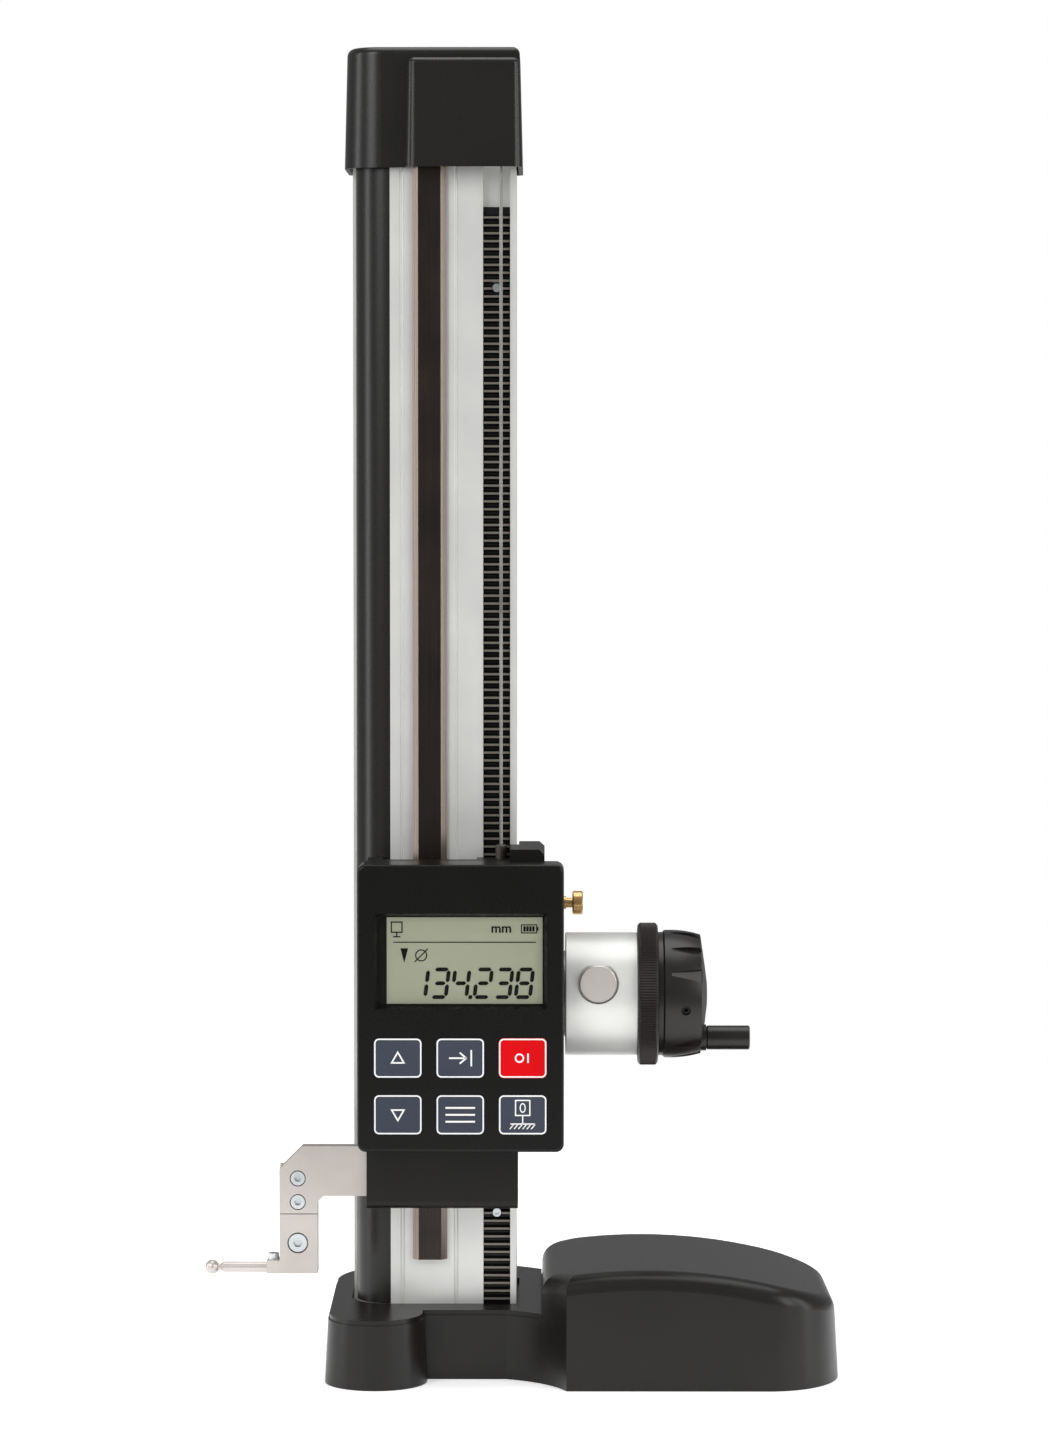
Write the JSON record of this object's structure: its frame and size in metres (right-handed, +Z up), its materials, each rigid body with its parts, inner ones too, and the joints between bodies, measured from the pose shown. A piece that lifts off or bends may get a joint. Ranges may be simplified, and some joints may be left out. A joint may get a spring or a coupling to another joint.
{
  "type": "height gauge",
  "caption": "Digital height gauge with counterbalanced carriage on a rack and rail column, cranked handwheel drive, ball stylus and heavy base.",
  "frame": {"origin": "on the resting face of the base, on the column's vertical axis", "axes": "+Z up along the column, +X to the crank's side, +Y to the rear, away from the display"},
  "size_m": [0.3159, 0.1753, 0.663],
  "materials": {
    "base_paint": "satin black paint on iron",
    "carriage_paint": "satin black",
    "column_aluminium": "fine brushed, anodised",
    "black_plastic": "satin moulded",
    "rail_steel": "dark ground steel",
    "black_steel": "blackened steel",
    "screw_steel": "bright steel",
    "wire_steel": "stranded steel wire",
    "pulley_plastic": "white acetal",
    "housing_plastic": "semi-gloss black",
    "window_acrylic": "clear acrylic",
    "lcd_glass": "grey green liquid crystal",
    "board_laminate": "solder resist",
    "battery_wrap": "shrink wrap",
    "key_rubber": "moulded silicone",
    "key_slate": "satin slate",
    "key_red": "satin red",
    "button_metal": "satin turned",
    "ring_plastic": "black anodised, knurled",
    "wheel_plastic": "satin black",
    "brass_metal": "turned",
    "bracket_steel": "satin stainless"
  },
  "bodies": {
    "stand": {"base_casting": "base_paint", "base_top_plate": "base_paint", "column_bolts": "screw_steel", "column_extrusion": "column_aluminium", "column_side_strip": "black_plastic", "guide_rail": "rail_steel", "gear_rack": "black_steel", "rack_screws": "screw_steel", "top_plate": "column_aluminium", "top_plate_screws": "screw_steel", "pulley_bracket": "screw_steel", "pulley_axle": "screw_steel", "column_cap": "black_plastic", "cap_screws": "screw_steel", "wire_front": "wire_steel", "wire_wrap": "wire_steel", "wire_rear": "wire_steel"},
    "pulley": {"cable_pulley": "pulley_plastic"},
    "counterweight": {"counterweight": "black_steel"},
    "carriage": {"carriage_body": "carriage_paint", "roller_studs": "screw_steel", "read_head": "black_plastic", "wire_anchor": "screw_steel", "display_rear_shell": "housing_plastic", "display_front_shell": "housing_plastic", "display_window": "window_acrylic", "lcd_panel": "lcd_glass", "circuit_board": "board_laminate", "battery_pack": "battery_wrap", "display_screws": "screw_steel", "key_mat": "key_rubber", "handwheel_sleeve": "column_aluminium", "carriage_screws": "screw_steel", "shaft_bushes": "brass_metal", "probe_arm": "bracket_steel", "probe_holder": "bracket_steel", "holder_screws": "screw_steel", "probe_clamp_screw": "screw_steel", "stylus": "bracket_steel", "stylus_set_screw": "screw_steel"},
    "roller_1": {"guide_roller_1": "screw_steel"},
    "roller_2": {"guide_roller_2": "screw_steel"},
    "roller_3": {"guide_roller_3": "screw_steel"},
    "roller_4": {"guide_roller_4": "screw_steel"},
    "crank": {"crank_wheel": "wheel_plastic", "wheel_set_screw": "black_steel", "drive_shaft": "screw_steel", "drive_pinion": "screw_steel", "grip_pin": "screw_steel"},
    "grip": {"crank_grip": "wheel_plastic"},
    "fine_ring": {"fine_adjust_ring": "ring_plastic"},
    "mode_button": {"mode_button": "button_metal"},
    "clamp_screw": {"clamp_screw": "brass_metal"},
    "clamp_shoe": {"clamp_shoe": "brass_metal"},
    "key_up": {"key_up": "key_slate"},
    "key_send": {"key_send": "key_slate"},
    "key_power": {"key_power": "key_red"},
    "key_down": {"key_down": "key_slate"},
    "key_menu": {"key_menu": "key_slate"},
    "key_zero": {"key_zero": "key_slate"}
  },
  "joints": [
    {"name": "carriage_slide", "type": "slide", "parent": "stand", "child": "carriage", "axis": [0, 0, 1], "range_m": [-0.05, 0.334], "deforming": ["wire_front"]},
    {"name": "counterweight_slide", "type": "slide", "parent": "stand", "child": "counterweight", "axis": [0, 0, 1], "range_m": [-0.335, 0.051], "deforming": ["wire_rear"]},
    {"name": "pulley_turn", "type": "hinge", "parent": "stand", "child": "pulley", "pos_m": [0.0183, -0.0224, 0.634], "axis": [-0.7743, -0.6328, 0], "range_deg": [-130, 810]},
    {"name": "crank_turn", "type": "hinge", "parent": "carriage", "child": "crank", "pos_m": [0, -0.0445, 0.1916], "axis": [1, 0, 0], "range_deg": [-1710, 260]},
    {"name": "grip_spin", "type": "hinge", "parent": "crank", "child": "grip", "pos_m": [0.146, -0.0445, 0.1696], "axis": [1, 0, 0], "continuous": true},
    {"name": "fine_ring_turn", "type": "hinge", "parent": "carriage", "child": "fine_ring", "pos_m": [0.1065, -0.0445, 0.1916], "axis": [1, 0, 0], "continuous": true},
    {"name": "mode_button_press", "type": "slide", "parent": "carriage", "child": "mode_button", "axis": [0, 1, 0], "range_m": [0, 0.002], "stiffness_N_per_m": 900},
    {"name": "clamp_screw_turn", "type": "hinge", "parent": "carriage", "child": "clamp_screw", "pos_m": [0.06, -0.024, 0.235], "axis": [1, 0, 0], "range_deg": [-180, 0]},
    {"name": "clamp_shoe_press", "type": "slide", "parent": "carriage", "child": "clamp_shoe", "axis": [-1, 0, 0], "range_m": [0, 0.00039]},
    {"name": "roller_1_turn", "type": "hinge", "parent": "carriage", "child": "roller_1", "pos_m": [-0.0162, -0.04, 0.106], "axis": [0, 1, 0], "range_deg": [-2900, 2900]},
    {"name": "roller_2_turn", "type": "hinge", "parent": "carriage", "child": "roller_2", "pos_m": [0.0118, -0.04, 0.106], "axis": [0, 1, 0], "range_deg": [-2900, 2900]},
    {"name": "roller_3_turn", "type": "hinge", "parent": "carriage", "child": "roller_3", "pos_m": [-0.0162, -0.04, 0.243], "axis": [0, 1, 0], "range_deg": [-2900, 2900]},
    {"name": "roller_4_turn", "type": "hinge", "parent": "carriage", "child": "roller_4", "pos_m": [0.0118, -0.04, 0.243], "axis": [0, 1, 0], "range_deg": [-2900, 2900]},
    {"name": "key_up_press", "type": "slide", "parent": "carriage", "child": "key_up", "axis": [0, 1, 0], "range_m": [0, 0.0006], "stiffness_N_per_m": 1500},
    {"name": "key_send_press", "type": "slide", "parent": "carriage", "child": "key_send", "axis": [0, 1, 0], "range_m": [0, 0.0006], "stiffness_N_per_m": 1500},
    {"name": "key_power_press", "type": "slide", "parent": "carriage", "child": "key_power", "axis": [0, 1, 0], "range_m": [0, 0.0006], "stiffness_N_per_m": 1500},
    {"name": "key_down_press", "type": "slide", "parent": "carriage", "child": "key_down", "axis": [0, 1, 0], "range_m": [0, 0.0006], "stiffness_N_per_m": 1500},
    {"name": "key_menu_press", "type": "slide", "parent": "carriage", "child": "key_menu", "axis": [0, 1, 0], "range_m": [0, 0.0006], "stiffness_N_per_m": 1500},
    {"name": "key_zero_press", "type": "slide", "parent": "carriage", "child": "key_zero", "axis": [0, 1, 0], "range_m": [0, 0.0006], "stiffness_N_per_m": 1500}
  ],
  "couplings": [
    {"joint": "counterweight_slide", "follows": "carriage_slide", "ratio": -1},
    {"joint": "pulley_turn", "follows": "carriage_slide", "rad_per_m": 41.631},
    {"joint": "crank_turn", "follows": "carriage_slide", "rad_per_m": -88.889},
    {"joint": "clamp_shoe_press", "follows": "clamp_screw_turn", "m_per_rad": -0.00011141},
    {"joint": "roller_1_turn", "follows": "carriage_slide", "rad_per_m": 142.86},
    {"joint": "roller_2_turn", "follows": "carriage_slide", "rad_per_m": -142.86},
    {"joint": "roller_3_turn", "follows": "carriage_slide", "rad_per_m": 142.86},
    {"joint": "roller_4_turn", "follows": "carriage_slide", "rad_per_m": -142.86}
  ]
}
